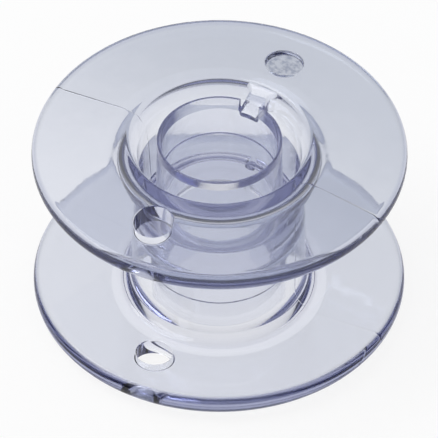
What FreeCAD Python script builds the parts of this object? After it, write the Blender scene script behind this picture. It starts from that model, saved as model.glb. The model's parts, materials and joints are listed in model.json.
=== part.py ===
import FreeCAD, Part
import math
import os

# Driving dimensions, mm
flange_diameter = 20.5          # both flanges
overall_height = 11.5           # between the two hub rings
winding_width = 8.26            # between the flanges, at their rims
flange_thickness = 1.1
hub_ring_diameter = 11.8        # flat ring that the part stands on
drum_diameter = 9.6             # thread is wound on this
bore_diameter = 6.2             # for the winder spindle
lead_in_diameter = 6.6          # widened end of the bore
lead_in_depth = 0.7
tube_end_diameter = 6.82        # tube wall, at its free end
tube_root_diameter = 7.0        # tube wall, at the bottom of the groove
mouth_diameter = 9.8            # groove mouth, at the hub ring
throat_diameter = 9.0           # end of the steep mouth
throat_depth = 1.0
groove_floor_diameter = 8.3     # outer wall of the groove, at its bottom
groove_depth = 4.95             # the grooves leave a thin web at mid height
thread_hole_pitch_radius = 7.15
thread_hole_outer_diameter = 2.15
thread_hole_inner_diameter = 2.0
gate_recess_diameter = 2.1      # blind mark of the moulding gate in the upper flange
gate_recess_depth = 0.4
bridge_width = 1.3              # single bridge across each groove
bridge_thickness = 0.9
bridge_drop = 0.14              # bridge top below the hub ring
slot_depth = 0.7                # drive slot below the hub ring, at the bore
slot_outer_diameter = 9.4       # the slot floor climbs to the bridge top here

# Edge rounds, mm
rim_round_share = 0.46          # rim rounds, as a share of the flange thickness
mouth_round = 0.3
throat_round = 0.3
groove_round = 0.3
tube_end_round = 0.05
lead_in_round = 0.12
drum_round = 1.3
bridge_round = 0.22
overcut = 0.5                   # how far a cut runs past the faces it opens
embed = 0.12                    # how far the bridge is sunk into the walls it joins

# Derived dimensions
flange_radius = flange_diameter / 2
hub_ring_radius = hub_ring_diameter / 2
drum_radius = drum_diameter / 2
bore_radius = bore_diameter / 2
half_height = overall_height / 2
rim_inner_z = winding_width / 2
rim_outer_z = rim_inner_z + flange_thickness
rim_round = rim_round_share * flange_thickness
cone_rise = half_height - rim_outer_z
cone_slope = cone_rise / (flange_radius - hub_ring_radius)
drum_end_z = rim_inner_z + cone_slope * (flange_radius - drum_radius)
groove_floor_z = half_height - groove_depth
bridge_top_z = half_height - bridge_drop
bridge_bottom_z = bridge_top_z - bridge_thickness
slot_floor_z = half_height - slot_depth


def point(corner):
    return FreeCAD.Vector(corner[0], 0, corner[1])


def rounded_outline(corners):
    # Closed outline in the XZ plane; every corner is (radius, height, round)
    starts = []
    ends = []
    arcs = []
    count = len(corners)
    for index, corner in enumerate(corners):
        here = point(corner)
        before = point(corners[index - 1]) - here
        after = point(corners[(index + 1) % count]) - here
        if corner[2] == 0:
            starts.append(here)
            ends.append(here)
            arcs.append(None)
            continue
        before.normalize()
        after.normalize()
        half_angle = before.getAngle(after) / 2
        reach = corner[2] / math.tan(half_angle)
        to_centre = before + after
        to_centre.normalize()
        centre = here + to_centre * (corner[2] / math.sin(half_angle))
        start = here + before * reach
        end = here + after * reach
        starts.append(start)
        ends.append(end)
        arcs.append(Part.Arc(start, centre - to_centre * corner[2], end).toShape())
    edges = []
    for index in range(count):
        if arcs[index] is not None:
            edges.append(arcs[index])
        following = (index + 1) % count
        edges.append(Part.makeLine(ends[index], starts[following]))
    return Part.Wire(edges)


def turned(corners):
    face = Part.Face(rounded_outline(corners))
    return face.revolve(FreeCAD.Vector(0, 0, 0), FreeCAD.Vector(0, 0, 1), 360)


# Upper half of the section, from the winding space over the rim into the bore
upper_half = [
    (drum_radius, drum_end_z, drum_round),
    (flange_radius, rim_inner_z, rim_round),
    (flange_radius, rim_outer_z, rim_round),
    (hub_ring_radius, half_height, 0),
    (mouth_diameter / 2, half_height, mouth_round),
    (throat_diameter / 2, half_height - throat_depth, throat_round),
    (groove_floor_diameter / 2, groove_floor_z, groove_round),
    (tube_root_diameter / 2, groove_floor_z, groove_round),
    (tube_end_diameter / 2, half_height, tube_end_round),
    (lead_in_diameter / 2, half_height, tube_end_round),
    (bore_radius, half_height - lead_in_depth, lead_in_round),
]
lower_half = [(radius, -height, edge) for radius, height, edge in reversed(upper_half)]
bobbin = turned(upper_half + lower_half)

middle = FreeCAD.Vector(0, 0, 0)
upwards = FreeCAD.Vector(0, 0, 1)

# One bridge across each groove at +Y, with its slot through the tube end
tube_middle_radius = (bore_radius + tube_end_diameter / 2) / 2
groove_fill = turned([
    (tube_middle_radius, groove_floor_z - embed, 0),
    (groove_floor_diameter / 2 + embed, groove_floor_z - embed, 0),
    (throat_diameter / 2 + embed, half_height - throat_depth, 0),
    (mouth_diameter / 2 + embed, half_height, 0),
    (tube_middle_radius, half_height, 0),
])
bridge_corners = [
    (-bridge_width / 2, bridge_bottom_z, bridge_round),
    (bridge_width / 2, bridge_bottom_z, bridge_round),
    (bridge_width / 2, bridge_top_z, bridge_round),
    (-bridge_width / 2, bridge_top_z, bridge_round),
]
bridge_bar = Part.Face(rounded_outline(bridge_corners)).extrude(FreeCAD.Vector(0, flange_radius, 0))
bridge = bridge_bar.common(groove_fill)
slot_side = -bridge_width / 2
slot_corners = [
    FreeCAD.Vector(slot_side, 0, slot_floor_z),
    FreeCAD.Vector(slot_side, bore_radius, slot_floor_z),
    FreeCAD.Vector(slot_side, slot_outer_diameter / 2, bridge_top_z),
    FreeCAD.Vector(slot_side, slot_outer_diameter / 2, half_height + overcut),
    FreeCAD.Vector(slot_side, 0, half_height + overcut),
]
slot_outline = Part.makePolygon(slot_corners + slot_corners[:1])
slot = Part.Face(slot_outline).extrude(FreeCAD.Vector(bridge_width, 0, 0))
bobbin = bobbin.fuse([bridge, bridge.mirror(middle, upwards)])
bobbin = bobbin.cut([slot, slot.mirror(middle, upwards)])

# One thread hole through each flange at -Y, wider at the outer face
taper = (thread_hole_outer_diameter - thread_hole_inner_diameter) / 2 / flange_thickness
hole_top_z = half_height + overcut
hole_bottom_z = rim_inner_z - overcut
outer_z_at_hole = rim_outer_z + cone_slope * (flange_radius - thread_hole_pitch_radius)
hole_top_radius = thread_hole_outer_diameter / 2 + taper * (hole_top_z - outer_z_at_hole)
hole_bottom_radius = hole_top_radius - taper * (hole_top_z - hole_bottom_z)
hole_foot = FreeCAD.Vector(0, -thread_hole_pitch_radius, hole_bottom_z)
hole = Part.makeCone(hole_bottom_radius, hole_top_radius, hole_top_z - hole_bottom_z, hole_foot)
bobbin = bobbin.cut([hole, hole.mirror(middle, upwards)])

# Gate recess in the upper flange, opposite its thread hole
recess_foot = FreeCAD.Vector(0, thread_hole_pitch_radius, outer_z_at_hole - gate_recess_depth)
recess = Part.makeCylinder(gate_recess_diameter / 2, gate_recess_depth + overcut, recess_foot)
bobbin = bobbin.cut(recess)

# Origin at the middle of the lower hub ring
bobbin = bobbin.removeSplitter()
bobbin.translate(FreeCAD.Vector(0, 0, half_height))

os.makedirs("parts", exist_ok=True)
bobbin.exportStep("parts/bobbin.step")
print("bobbin", bobbin.isValid(), round(bobbin.Volume, 2), bobbin.BoundBox, len(bobbin.Solids))
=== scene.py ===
import json
import math

import bmesh
import bpy
from mathutils import Matrix, Vector

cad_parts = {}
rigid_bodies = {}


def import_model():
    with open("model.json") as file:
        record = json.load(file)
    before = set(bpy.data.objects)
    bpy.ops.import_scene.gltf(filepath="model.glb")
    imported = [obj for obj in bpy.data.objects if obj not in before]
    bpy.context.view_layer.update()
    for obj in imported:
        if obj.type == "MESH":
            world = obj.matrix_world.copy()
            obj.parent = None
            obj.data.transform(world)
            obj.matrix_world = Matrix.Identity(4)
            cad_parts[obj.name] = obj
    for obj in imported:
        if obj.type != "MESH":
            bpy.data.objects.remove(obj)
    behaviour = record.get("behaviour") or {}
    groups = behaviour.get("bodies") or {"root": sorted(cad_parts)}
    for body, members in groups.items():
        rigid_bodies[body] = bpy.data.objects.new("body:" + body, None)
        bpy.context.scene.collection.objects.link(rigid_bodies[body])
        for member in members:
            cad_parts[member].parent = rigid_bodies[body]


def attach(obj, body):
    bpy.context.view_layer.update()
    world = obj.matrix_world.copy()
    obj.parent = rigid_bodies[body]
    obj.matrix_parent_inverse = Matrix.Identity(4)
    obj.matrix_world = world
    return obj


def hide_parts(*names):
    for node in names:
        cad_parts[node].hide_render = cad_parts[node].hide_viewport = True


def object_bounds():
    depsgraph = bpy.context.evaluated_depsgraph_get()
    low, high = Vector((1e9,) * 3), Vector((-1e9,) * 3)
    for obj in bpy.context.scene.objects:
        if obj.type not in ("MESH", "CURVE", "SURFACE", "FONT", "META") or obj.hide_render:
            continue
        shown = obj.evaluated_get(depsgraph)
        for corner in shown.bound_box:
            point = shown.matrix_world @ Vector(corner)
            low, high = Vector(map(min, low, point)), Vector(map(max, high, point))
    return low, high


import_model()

cadLow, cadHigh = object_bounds()
mm = 0.001  # meshes are drawn in millimetres and brought to metres at the end
flangeRadius = cadHigh.x / mm
halfHeight = (cadHigh.z - cadLow.z) / mm / 2


class Wire:
    # a shader socket: sums on it add Math nodes, make() adds any other node
    def __init__(self, tree, socket=None):
        self.tree = tree
        self.socket = socket

    def make(self, kind, settings=None, inputs=None, output=0):
        node = self.tree.nodes.new(kind)
        for name, value in (settings or {}).items():
            if name == "stops":
                self.setStops(node.color_ramp, value)
            else:
                setattr(node, name, value)
        for key, value in (inputs or {}).items():
            if isinstance(value, Wire):
                self.tree.links.new(value.socket, node.inputs[key])
            else:
                node.inputs[key].default_value = value
        return Wire(self.tree, node.outputs[output] if node.outputs else None)

    def setStops(self, ramp, stops):
        while len(ramp.elements) < len(stops):
            ramp.elements.new(1.0)
        for element, (place, colour) in zip(ramp.elements, stops):
            element.position = place
            element.color = colour

    def maths(self, operation, first, second=0.0):
        return self.make("ShaderNodeMath", {"operation": operation}, {0: first, 1: second})

    def __add__(self, other):
        return self.maths("ADD", self, other)

    def __sub__(self, other):
        return self.maths("SUBTRACT", self, other)

    def __rsub__(self, other):
        return self.maths("SUBTRACT", other, self)

    def __mul__(self, other):
        return self.maths("MULTIPLY", self, other)

    def __pow__(self, other):
        return self.maths("POWER", self, other)

    __radd__ = __add__
    __rmul__ = __mul__

    def atLeast(self, other):
        return self.maths("MAXIMUM", self, other)

    def between(self, low, high):
        # 0 below low, 1 above high, eased in the middle
        return self.make("ShaderNodeMapRange", {"interpolation_type": "SMOOTHSTEP"},
                         {"Value": self, "From Min": low, "From Max": high})

    def noise(self, scale, detail, roughness=0.5):
        return self.make("ShaderNodeTexNoise", {"noise_dimensions": "3D"}, {
            "Vector": self, "Scale": scale, "Detail": detail, "Roughness": roughness})

    def blend(self, first, second):
        # colour that goes from the first to the second as this value rises
        return self.make("ShaderNodeMix", {"data_type": "RGBA"},
                         {"Factor": self, "A": first, "B": second}, output="Result")


# the turned section, millimetres, as the solid model has it
bobbinForm = {
    "windingWidth": 8.26,
    "flangeThickness": 1.1,
    "hubRingDiameter": 11.8,
    "drumDiameter": 9.6,
    "boreDiameter": 6.2,
    "leadInDiameter": 6.6,
    "leadInDepth": 0.7,
    "boreStep": 0.05,      # the bore is this much wider in radius above a fine step
    "boreStepDepth": 2.5,
    "boreStepHeight": 0.06,
    "tubeEndDiameter": 6.82,
    "tubeRootDiameter": 7.0,
    "mouthDiameter": 9.8,
    "throatDiameter": 9.0,
    "throatDepth": 1.0,
    "grooveFloorDiameter": 8.3,
    "grooveDepth": 4.95,
    "rimRound": 0.506,
    "mouthRound": 0.3,
    "throatRound": 0.3,
    "grooveRound": 0.3,
    "tubeEndRound": 0.05,
    "leadInRound": 0.12,
    "drumRound": 1.3,
    "segments": 300,
    "arcStep": 10.0,       # degrees of a round per facet
    "leastSteps": 3,       # facets of the smallest round
    "supportGap": 0.03,    # ring beside each round that keeps the flats flat
    "shortSidePart": 3,    # on a short side, the gap is the side divided by this
    "sharpAngle": 20.0,    # degrees; edges that turn by more stay crisp
    "seamAzimuths": (0, 180),  # the two mould halves meet along +X and -X
    "seamHeight": 0.0195,  # parting line on the winding side, at the rim
    "seamHalfWidth": 0.4,  # degrees
    "seamLines": 3,        # mesh lines over half of its width
    "drumSlack": 0.01,     # inside the drum by less than this is still its face
    "weldGap": 0.0002,     # slivers left by the cuts are closed up
}

rimInnerZ = bobbinForm["windingWidth"] / 2
rimOuterZ = rimInnerZ + bobbinForm["flangeThickness"]
hubRingRadius = bobbinForm["hubRingDiameter"] / 2
coneSlope = (halfHeight - rimOuterZ) / (flangeRadius - hubRingRadius)
drumRadius = bobbinForm["drumDiameter"] / 2
drumEndZ = rimInnerZ + coneSlope * (flangeRadius - drumRadius)
grooveFloorZ = halfHeight - bobbinForm["grooveDepth"]
throatZ = halfHeight - bobbinForm["throatDepth"]
boreRadius = bobbinForm["boreDiameter"] / 2
boreStepZ = halfHeight - bobbinForm["boreStepDepth"]


def outlineOf(corners):
    # closed outline through (across, up, round) corners, each round drawn as an arc
    count = len(corners)
    spots = [Vector(corner[:2]) for corner in corners]
    reaches = []
    for i, corner in enumerate(corners):
        before, after = spots[i - 1] - spots[i], spots[(i + 1) % count] - spots[i]
        reaches.append(corner[2] / math.tan(before.angle(after) / 2))
    points = []
    for i, corner in enumerate(corners):
        here, j = spots[i], (i + 1) % count
        before, after = spots[i - 1] - here, spots[j] - here
        spareBefore = before.length - reaches[i] - reaches[i - 1]
        spareAfter = after.length - reaches[i] - reaches[j]
        before.normalize()
        after.normalize()
        if corner[2] == 0:
            points.append(here)
            continue
        half = before.angle(after) / 2
        centre = here + (before + after).normalized() * (corner[2] / math.sin(half))
        first = here + before * reaches[i] - centre
        last = here + after * reaches[i] - centre
        turn = math.atan2(first.x * last.y - first.y * last.x, first.dot(last))
        steps = math.ceil(abs(math.degrees(turn)) / bobbinForm["arcStep"])
        steps = max(bobbinForm["leastSteps"], steps)
        gap, part = bobbinForm["supportGap"], bobbinForm["shortSidePart"]
        points.append(here + before * (reaches[i] + min(gap, spareBefore / part)))
        for step in range(steps + 1):
            spin = Matrix.Rotation(turn * step / steps, 2)
            points.append(centre + spin @ first)
        points.append(here + after * (reaches[i] + min(gap, spareAfter / part)))
    return points


def sectionOutline():
    # from the winding space over the rim into the bore, then mirrored
    form = bobbinForm
    stepRadius = boreRadius + form["boreStep"]
    upper = [
        (drumRadius, drumEndZ, form["drumRound"]),
        (flangeRadius, rimInnerZ, form["rimRound"]),
        (flangeRadius, rimOuterZ, form["rimRound"]),
        (hubRingRadius, halfHeight, 0),
        (form["mouthDiameter"] / 2, halfHeight, form["mouthRound"]),
        (form["throatDiameter"] / 2, throatZ, form["throatRound"]),
        (form["grooveFloorDiameter"] / 2, grooveFloorZ, form["grooveRound"]),
        (form["tubeRootDiameter"] / 2, grooveFloorZ, form["grooveRound"]),
        (form["tubeEndDiameter"] / 2, halfHeight, form["tubeEndRound"]),
        (form["leadInDiameter"] / 2, halfHeight, form["tubeEndRound"]),
        (stepRadius, halfHeight - form["leadInDepth"], form["leadInRound"]),
        (stepRadius, boreStepZ, 0),
        (boreRadius, boreStepZ - form["boreStepHeight"], 0),
    ]
    lower = [(across, -up, edge) for across, up, edge in reversed(upper)]
    return outlineOf(upper + lower)


def easeBetween(value, low, high):
    share = min(1.0, max(0.0, (value - low) / (high - low)))
    return share * share * (3 - 2 * share)


def degreesApart(azimuth, other):
    return abs(math.remainder(azimuth - other, 360))


def seamLift(azimuth):
    # 1 on the parting line, 0 beside it
    away = min(degreesApart(azimuth, seam) for seam in bobbinForm["seamAzimuths"])
    return easeBetween(away, bobbinForm["seamHalfWidth"], 0)


def azimuthLines():
    # even spokes, with finer ones across the parting line
    form = bobbinForm
    half, fine = form["seamHalfWidth"], form["seamLines"]
    lines = {360 * i / form["segments"] for i in range(form["segments"])}
    for seam in form["seamAzimuths"]:
        lines = {a for a in lines if not 0 < degreesApart(a, seam) <= half}
        lines |= {(seam + half * k / fine) % 360 for k in range(-fine, fine + 1)}
    return sorted(lines)


def meshObject(name, work):
    bmesh.ops.recalc_face_normals(work, faces=work.faces)
    mesh = bpy.data.meshes.new(name)
    work.to_mesh(mesh)
    work.free()
    piece = bpy.data.objects.new(name, mesh)
    bpy.context.scene.collection.objects.link(piece)
    return piece


def turnedBody(outline):
    work = bmesh.new()
    count = len(outline)
    lines = azimuthLines()
    rings = []
    for i, spot in enumerate(outline):
        along = outline[(i + 1) % count] - outline[i - 1]
        outward = Vector((along.y, -along.x)).normalized()
        wound = (spot.x > drumRadius - bobbinForm["drumSlack"]
                 and abs(spot.y) < rimOuterZ - bobbinForm["rimRound"])
        seam = bobbinForm["seamHeight"] * spot.x / flangeRadius if wound else 0
        ring = []
        for azimuth in lines:
            place = spot - outward * (seamLift(azimuth) * seam)
            a = math.radians(azimuth)
            ring.append(work.verts.new((place.x * math.cos(a), place.x * math.sin(a), place.y)))
        rings.append(ring)
    for i in range(count):
        low, high = rings[i], rings[(i + 1) % count]
        for k in range(len(lines)):
            n = (k + 1) % len(lines)
            work.faces.new((low[k], low[n], high[n], high[k]))
    return meshObject("bobbinBody", work)


def loft(work, rings):
    # skin over rings with the same number of points, each end closed by a fan
    rows = [[work.verts.new(spot) for spot in ring] for ring in rings]
    for low, high in zip(rows, rows[1:]):
        for k in range(len(low)):
            n = (k + 1) % len(low)
            work.faces.new((low[k], low[n], high[n], high[k]))
    for row, ring in ((rows[0], rings[0]), (rows[-1], rings[-1])):
        hub = work.verts.new(sum(ring, Vector()) / len(ring))
        for k in range(len(row)):
            work.faces.new((row[k - 1], row[k], hub))


def flipped(rings):
    return [[Vector((spot.x, spot.y, -spot.z)) for spot in ring] for ring in rings]


# one bridge over each groove on the +Y side, and the drive slot through the tube end
bridgeForm = {
    "halfWidth": 0.62,
    "thickness": 0.5,      # at the tube
    "endDrop": 0.09,       # top of the bridge under the hub ring, at the mouth
    "slope": 0.38,         # the top falls this steeply towards the bore
    "edgeRound": 0.2,
    "flareStart": 4.35,
    "flare": 0.4,          # extra half width where the bridge meets the mouth
    "embed": 0.12,         # sunk this far into the walls it joins
    "stations": 16,
    "slotHalfWidth": 0.6,
    "slotRound": 0.18,
    "slotStations": 6,
    "clearance": 1.0,      # the slot's cutter runs past the faces it opens
}


def bridgeTop(reach):
    form = bridgeForm
    mouth = bobbinForm["mouthDiameter"] / 2
    return halfHeight - form["endDrop"] - form["slope"] * max(0.0, mouth - reach)


def grooveWall(height):
    # radius of the groove's outer wall
    form = bobbinForm
    stops = [
        (grooveFloorZ, form["grooveFloorDiameter"] / 2),
        (throatZ, form["throatDiameter"] / 2),
        (halfHeight, form["mouthDiameter"] / 2),
    ]
    for (low, wide), (high, wider) in zip(stops, stops[1:]):
        if height <= high:
            return wide + (wider - wide) * max(0.0, height - low) / (high - low)
    return stops[-1][1]


def bridgeRings():
    form = bridgeForm
    tubeMiddle = (bobbinForm["boreDiameter"] + bobbinForm["tubeEndDiameter"]) / 4
    wallEnd = bobbinForm["mouthDiameter"] / 2 + form["embed"]
    low = bridgeTop(tubeMiddle) - form["thickness"]
    edge = form["edgeRound"]
    rings = []
    for i in range(form["stations"] + 1):
        share = i / form["stations"]
        reach = tubeMiddle + (wallEnd - tubeMiddle) * share
        top = bridgeTop(reach)
        widening = easeBetween(reach, form["flareStart"], wallEnd) ** 2
        half = form["halfWidth"] + form["flare"] * widening
        corners = [(-half, low, edge), (half, low, edge), (half, top, edge), (-half, top, edge)]
        ring = []
        for spot in outlineOf(corners):
            limit = grooveWall(spot.y) + form["embed"]
            out = min(reach, tubeMiddle + (limit - tubeMiddle) * share)
            away = math.sqrt(max(0.0, out * out - spot.x * spot.x))
            ring.append(Vector((spot.x, away, spot.y)))
        rings.append(ring)
    return rings


def slotRings():
    form = bridgeForm
    inner = boreRadius - form["embed"]
    outer = bobbinForm["tubeEndDiameter"] / 2 + form["embed"]
    high = halfHeight + form["clearance"]
    half, edge = form["slotHalfWidth"], form["slotRound"]
    rings = []
    for i in range(-1, form["slotStations"] + 1):  # the first one lies inside the bore
        reach = inner + (outer - inner) * max(0, i) / form["slotStations"]
        low = bridgeTop(reach)
        corners = [(-half, low, edge), (half, low, edge), (half, high, 0), (-half, high, 0)]
        away = reach if i >= 0 else reach - form["clearance"]
        rings.append([Vector((spot.x, away, spot.y)) for spot in outlineOf(corners)])
    return rings


# one thread hole in each flange, millimetres
threadHoles = {
    "side": -1,            # at -Y
    "pitchRadius": 7.15,
    "outerDiameter": 2.15,
    "innerDiameter": 2.0,
    "edgeRound": 0.07,
    "firstAngle": 25.0,    # where the rounded edge starts, degrees off the flange face
    "arcSteps": 5,
    "facets": 96,
    "clearance": 0.25,     # the cutter runs this far past the flange
}


def coneRise(x, y):
    # height of a flange face over its rim
    return coneSlope * (flangeRadius - math.hypot(x, y))


def edgeProfile(edge):
    # (widening, height off the face) down a rounded edge, from clear of the face
    start = math.radians(threadHoles["firstAngle"])
    runOut, steps = threadHoles["clearance"], threadHoles["arcSteps"]
    profile = [(edge * (1 - math.sin(start)) + runOut / math.tan(start),
                edge * (math.cos(start) - 1) + runOut)]
    for step in range(steps + 1):
        turn = start + (math.pi / 2 - start) * step / steps
        profile.append((edge * (1 - math.sin(turn)), edge * (math.cos(turn) - 1)))
    return profile


def circle(radius, middle, facets):
    # points round a middle on the Y axis
    turns = [2 * math.pi * k / facets for k in range(facets)]
    return [(radius * math.cos(a), middle + radius * math.sin(a)) for a in turns]


def holeRings():
    form = threadHoles
    middle = form["side"] * form["pitchRadius"]
    outer, inner = form["outerDiameter"] / 2, form["innerDiameter"] / 2
    edge = edgeProfile(form["edgeRound"])
    profile = [(outer + wide, rimOuterZ, up) for wide, up in edge]
    profile += [(inner + wide, rimInnerZ, -up) for wide, up in reversed(edge)]
    rings = []
    for radius, faceZ, height in profile:
        spots = circle(radius, middle, form["facets"])
        rings.append([Vector((x, y, faceZ + coneRise(x, y) + height)) for x, y in spots])
    return rings


# blind mark of the moulding gate in the upper flange, opposite its thread hole
gateRecess = {
    "diameter": 2.1,
    "depth": 0.4,
    "edgeRound": 0.09,
    "cornerRound": 0.06,
    "floorRings": 14,
    "floorRelief": 0.035,  # the torn-off gate leaves an uneven floor
    "floorMean": 0.5,      # of the relief
    "floorSwing": 0.25,
    "crossWave": ((5.1, 1.3), (4.3, 0.4)),  # rate and start, each way
    "waves": ((0.7, 8.7, -6.1, 2.1), (0.4, 9.0, 13.0, 0.0)),  # size, both ways, start
    "stubHeight": 0.05,
    "stubWidth": 0.4,
}


def gateFloor(across, along):
    # height of the uneven floor over its lowest place
    form = gateRecess
    (acrossRate, acrossStart), (alongRate, alongStart) = form["crossWave"]
    level = math.sin(acrossRate * across + acrossStart) * math.sin(alongRate * along + alongStart)
    for size, acrossRate, alongRate, start in form["waves"]:
        level += size * math.sin(acrossRate * across + alongRate * along + start)
    relief = form["floorRelief"] * (form["floorMean"] + form["floorSwing"] * level)
    stub = math.exp(-(across * across + along * along) / form["stubWidth"] ** 2)
    return relief + form["stubHeight"] * stub


def gateRings():
    form = gateRecess
    corner = form["cornerRound"]
    rim = form["diameter"] / 2
    pitch, steps = threadHoles["pitchRadius"], threadHoles["arcSteps"]
    floorZ = rimOuterZ + coneRise(0, pitch) - form["depth"]
    rings = []
    for widening, height in edgeProfile(form["edgeRound"]):
        spots = circle(rim + widening, pitch, threadHoles["facets"])
        rings.append([Vector((x, y, rimOuterZ + coneRise(x, y) + height)) for x, y in spots])
    profile = []  # radius and height over the floor, from the wall to the middle
    for step in range(steps + 1):
        turn = math.pi / 2 * step / steps
        profile.append((rim - corner * (1 - math.cos(turn)), corner * (1 - math.sin(turn))))
    for step in range(1, form["floorRings"]):
        profile.append(((rim - corner) * (1 - step / form["floorRings"]), 0.0))
    for radius, height in profile:
        rough = easeBetween(radius, rim, rim - 2 * corner)  # none at the wall
        ring = []
        for x, y in circle(radius, pitch, threadHoles["facets"]):
            ring.append(Vector((x, y, floorZ + height + gateFloor(x, y - pitch) * rough)))
        rings.append(ring)
    return rings


# shallow mark of an ejector pin on each groove floor, in line with the bridges
pinMark = {
    "diameter": 0.7,
    "depth": 0.14,
    "facets": 40,
    "clearance": 0.3,
}


def pinRings():
    pitch = (bobbinForm["grooveFloorDiameter"] + bobbinForm["tubeRootDiameter"]) / 4
    spots = circle(pinMark["diameter"] / 2, pitch, pinMark["facets"])
    levels = grooveFloorZ - pinMark["depth"], grooveFloorZ + pinMark["clearance"]
    return [[Vector((x, y, z)) for x, y in spots] for z in levels]


def joinSolids(body, tool, operation):
    step = body.modifiers.new(operation, "BOOLEAN")
    step.object = tool
    step.operation = operation
    step.solver = "EXACT"
    bpy.context.view_layer.objects.active = body
    bpy.ops.object.modifier_apply(modifier=step.name)
    bpy.data.objects.remove(tool)


def weldSlivers(body):
    work = bmesh.new()
    work.from_mesh(body.data)
    bmesh.ops.remove_doubles(work, verts=work.verts, dist=bobbinForm["weldGap"])
    work.to_mesh(body.data)
    work.free()


def buildBobbin():
    body = turnedBody(sectionOutline())
    print("turned body:", len(body.data.polygons), "faces")
    work = bmesh.new()
    for rings in (bridgeRings(), flipped(bridgeRings())):
        loft(work, rings)
    joinSolids(body, meshObject("bridges", work), "UNION")
    work = bmesh.new()
    for rings in (slotRings(), flipped(slotRings()), holeRings(), flipped(holeRings()),
                  gateRings(), pinRings(), flipped(pinRings())):
        loft(work, rings)
    joinSolids(body, meshObject("cuts", work), "DIFFERENCE")
    weldSlivers(body)
    print("bridges, slots, thread holes and marks:", len(body.data.polygons), "faces")
    body.data.transform(Matrix.Translation((0, 0, halfHeight)))
    body.data.transform(Matrix.Scale(mm, 4))
    for face in body.data.polygons:
        face.use_smooth = True
    body.data.set_sharp_from_angle(angle=math.radians(bobbinForm["sharpAngle"]))
    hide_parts("bobbin")
    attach(body, "root")
    return body


# clear moulded plastic with a faint violet tint; lengths are millimetres
plasticFinish = {
    "ior": 1.5,
    "tubeTint": (0.93, 0.94, 0.965, 1.0),
    "upperShadeTint": (0.69, 0.725, 0.775, 1.0),  # painted shade on the upper flange, towards +Y
    "lowerShadeTint": (0.83, 0.855, 0.89, 1.0),    # painted shade on the lower flange, towards +Y
    "farTint": (0.92, 0.94, 0.965, 1.0),    # both flanges towards -Y, clear of the painted shade
    "tintReach": 8.5,            # each way along Y that the tint changes over
    "tintDrift": 1.5,            # the cloud moves that change by up to half of this
    "driftRange": (0.3, 0.7),
    "flangeFrom": 4.6,           # radius where the flange tint comes in
    "flangeFade": 0.5,
    "lowFlangeFade": 1.6,        # more slowly at the lower end
    "endBlend": 1.0,             # the two ends meet over this, up and down from the middle
    "rimShadeTint": (0.60, 0.63, 0.75, 1.0),     # painted shade on the edge of both rims
    "rimFrom": 0.34,             # in from the edge
    "rimFull": 0.1,
    "tornShadeTint": (0.24, 0.27, 0.36, 1.0),    # floor of the gate recess, mottled where the gate tore, its darkness painted shade of the hub seen in it
    "tornEdge": (-0.05, 0.06),   # fades out over this, round the wall of the recess
    "tornFloor": (4.6, 4.7),     # and over this, above mid height
    "tornLeast": 0.38,           # share of the tint between the mottles
    "mottleRange": (0.43, 0.60),
    "tornRoughness": 0.16,
    "tornRelief": 2.0,
    "bulkColour": (0.5, 0.52, 0.70, 1.0),
    "bulkDensity": 280.0,        # per metre
    "roughness": 0.03,
    "cloudRoughness": 0.05,      # added where the moulding is clouded
    "cloudRange": (0.4, 0.7),
    "speckRoughness": 0.1,       # added in fine specks
    "speckRange": (0.66, 0.74),
    "scuffRelief": 0.02,
    "reliefDepth": 0.06,
    "reliefStrength": 0.2,
    "rippleNoise": (0.45, 2.0),  # scale per millimetre, detail and roughness
    "cloudNoise": (0.8, 4.0),
    "scuffNoise": (6.0, 6.0),
    "speckleNoise": (3.0, 4.0, 0.62),
}


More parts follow.
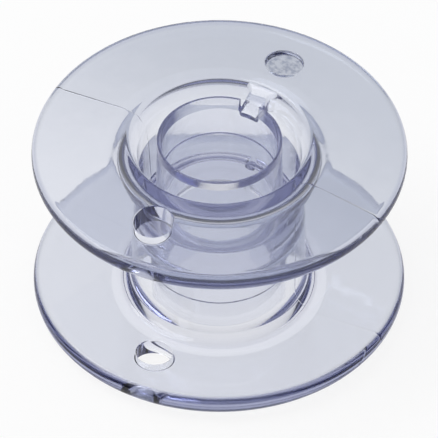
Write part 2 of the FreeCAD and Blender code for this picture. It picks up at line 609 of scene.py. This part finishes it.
def clearPlastic():
    finish = plasticFinish
    material = bpy.data.materials.new("clearPlastic")
    material.use_nodes = True
    tree = material.node_tree
    tree.nodes.clear()
    kit = Wire(tree)
    place = kit.make("ShaderNodeTexCoord", output="Object")
    inMm = kit.make("ShaderNodeVectorMath", {"operation": "SCALE"}, {0: place, "Scale": 1 / mm})
    across = kit.make("ShaderNodeSeparateXYZ", None, {0: inMm}, output="X")
    along = Wire(tree, across.socket.node.outputs["Y"])
    up = Wire(tree, across.socket.node.outputs["Z"])
    radius = (across ** 2 + along ** 2) ** 0.5

    ripple = inMm.noise(*finish["rippleNoise"])
    cloud = inMm.noise(*finish["cloudNoise"])
    scuff = inMm.noise(*finish["scuffNoise"])
    speckle = inMm.noise(*finish["speckleNoise"])

    # the torn gate is frosted and mottled, and its mottles carry painted shade of the dark hub
    # seen in the recess
    fromGate = (across ** 2 + (along - threadHoles["pitchRadius"]) ** 2) ** 0.5
    inside, outside = [gateRecess["diameter"] / 2 + gap for gap in finish["tornEdge"]]
    under, over = [halfHeight + height for height in finish["tornFloor"]]
    torn = (1 - fromGate.between(inside, outside)) * up.between(under, over)
    least = finish["tornLeast"]
    mottle = torn * (least + (1 - least) * speckle.between(*finish["mottleRange"]))

    # painted shade: the flanges are darker towards +Y, the side away from the camera, and darkest
    # at the rims
    lowEnd = 1 - up.between(halfHeight - finish["endBlend"], halfHeight + finish["endBlend"])
    shadeTint = lowEnd.blend(finish["upperShadeTint"], finish["lowerShadeTint"])
    drift, reach = finish["tintDrift"], finish["tintReach"]
    drifted = along + drift * cloud.between(*finish["driftRange"]) - drift / 2
    flange = drifted.between(-reach, reach).blend(finish["farTint"], shadeTint)
    slower = finish["lowFlangeFade"] - finish["flangeFade"]
    flangeFull = finish["flangeFrom"] + finish["flangeFade"] + slower * lowEnd
    byPlace = radius.between(finish["flangeFrom"], flangeFull).blend(finish["tubeTint"], flange)
    atRim = radius.between(flangeRadius - finish["rimFrom"], flangeRadius - finish["rimFull"])
    tint = mottle.blend(atRim.blend(byPlace, finish["rimShadeTint"]), finish["tornShadeTint"])

    roughness = finish["roughness"]
    roughness += finish["cloudRoughness"] * cloud.between(*finish["cloudRange"])
    roughness += finish["speckRoughness"] * scuff.between(*finish["speckRange"])
    roughness = roughness.atLeast(torn * finish["tornRoughness"])
    relief = ripple + finish["scuffRelief"] * scuff + finish["tornRelief"] * torn * speckle
    bump = kit.make("ShaderNodeBump", None, {
        "Height": relief, "Distance": finish["reliefDepth"] * mm,
        "Strength": finish["reliefStrength"]})
    surface = kit.make("ShaderNodeBsdfPrincipled", None, {
        "Base Color": tint, "Roughness": roughness, "Normal": bump,
        "IOR": finish["ior"], "Transmission Weight": 1.0})
    bulk = kit.make("ShaderNodeVolumeAbsorption", None,
                    {"Color": finish["bulkColour"], "Density": finish["bulkDensity"]})
    kit.make("ShaderNodeOutputMaterial", None, {"Surface": surface, "Volume": bulk})
    print("clear plastic:", len(tree.nodes), "nodes")
    return material


# pale floor under the part and soft studio light
studio = {
    "floorSize": 2.4,       # metres, as all of these lengths
    "floorSegments": 8,
    "floorColour": (0.90, 0.90, 0.91, 1.0),
    "glowShare": 0.86,      # of the floor's white that shadows leave alone
    "skyStops": [           # place from straight down to straight up, and level there
        (0.0, 1.0), (0.5, 1.0), (0.505, 0.16), (0.66, 0.2), (0.8, 0.7), (1.0, 0.9)],
    "lightBounces": 40,
    "keyPower": 0.9,
    "keySize": 0.3,
    "keyPlace": (-0.22, -0.1, 0.42),
}


def buildStudio():
    work = bmesh.new()
    segments = studio["floorSegments"]
    bmesh.ops.create_grid(work, x_segments=segments, y_segments=segments,
                          size=studio["floorSize"] / 2)
    floor = meshObject("paleFloor", work)
    material = bpy.data.materials.new("paleFloor")
    material.use_nodes = True
    tree = material.node_tree
    tree.nodes.clear()
    kit = Wire(tree)
    direct = kit.make("ShaderNodeLightPath", output="Is Camera Ray")
    path = direct.socket.node
    glossy = Wire(tree, path.outputs["Is Glossy Ray"])
    through = Wire(tree, path.outputs["Is Transmission Ray"])
    seen = direct.atLeast(glossy).atLeast(through)
    matt = kit.make("ShaderNodeBsdfDiffuse", None, {"Color": studio["floorColour"]})
    glow = kit.make("ShaderNodeEmission", None, {"Strength": 1.0})
    both = kit.make("ShaderNodeMixShader", None, {0: seen * studio["glowShare"], 1: matt, 2: glow})
    kit.make("ShaderNodeOutputMaterial", None, {"Surface": both})
    floor.data.materials.append(material)

    world = bpy.data.worlds.new("softRoom")
    bpy.context.scene.world = world
    world.use_nodes = True
    world.node_tree.nodes.clear()
    sky = Wire(world.node_tree)
    looking = sky.make("ShaderNodeTexCoord", output="Generated")
    up = sky.make("ShaderNodeSeparateXYZ", None, {0: looking}, output="Z")
    stops = [(place, (level, level, level, 1.0)) for place, level in studio["skyStops"]]
    shade = sky.make("ShaderNodeValToRGB", {"stops": stops}, {0: up * 0.5 + 0.5})
    light = sky.make("ShaderNodeBackground", None, {"Color": shade, "Strength": 1.0})
    sky.make("ShaderNodeOutputWorld", None, {"Surface": light})

    lamp = bpy.data.lights.new("softKey", "AREA")
    lamp.size = studio["keySize"]
    lamp.energy = studio["keyPower"]
    key = bpy.data.objects.new("softKey", lamp)
    bpy.context.scene.collection.objects.link(key)
    key.location = studio["keyPlace"]
    key.rotation_mode = "QUATERNION"
    key.rotation_quaternion = (-Vector(studio["keyPlace"])).to_track_quat("-Z", "Y")
    paths = bpy.context.scene.cycles  # light runs far inside the clear flanges
    paths.max_bounces = studio["lightBounces"]
    paths.glossy_bounces = studio["lightBounces"]
    paths.transmission_bounces = studio["lightBounces"]
    print("floor, room and key light")


# the photograph's viewpoint; picture values are pixels of its square frame
viewpoint = {
    "azimuth": 29.70,
    "elevation": 44.72,
    "roll": 0.23,
    "distance": 0.4408,
    "pictureSide": 438,
    "radiusInPicture": 186.69,
    "middleAcross": 219.24,
    "middleDown": 214.45,
    "clipNear": 0.01,
    "clipFar": 10.0,
}


def buildCamera():
    view = viewpoint
    a, e = math.radians(view["azimuth"]), math.radians(view["elevation"])
    back = Vector((math.sin(a) * math.cos(e), -math.cos(a) * math.cos(e), math.sin(e)))
    lens = bpy.data.cameras.new("bobbinView")
    camera = bpy.data.objects.new("bobbinView", lens)
    bpy.context.scene.collection.objects.link(camera)
    camera.location = Vector((0, 0, halfHeight * mm)) + back * view["distance"]
    camera.rotation_mode = "QUATERNION"
    turn = Matrix.Rotation(math.radians(view["roll"]), 4, "Z").to_quaternion()
    camera.rotation_quaternion = (-back).to_track_quat("-Z", "Y") @ turn
    side = view["pictureSide"]
    perMetre = view["radiusInPicture"] / (flangeRadius * mm)  # pixels, at the bobbin
    lens.lens = lens.sensor_width * perMetre * view["distance"] / side
    lens.shift_x = -(view["middleAcross"] - side / 2) / side
    lens.shift_y = (view["middleDown"] - side / 2) / side
    lens.clip_start, lens.clip_end = view["clipNear"], view["clipFar"]
    bpy.context.scene.camera = camera
    print("camera, lens", round(lens.lens), "mm")


bobbin = buildBobbin()
bobbin.data.materials.clear()
bobbin.data.materials.append(clearPlastic())
buildStudio()
buildCamera()
bpy.context.scene.view_settings.view_transform = "Standard"
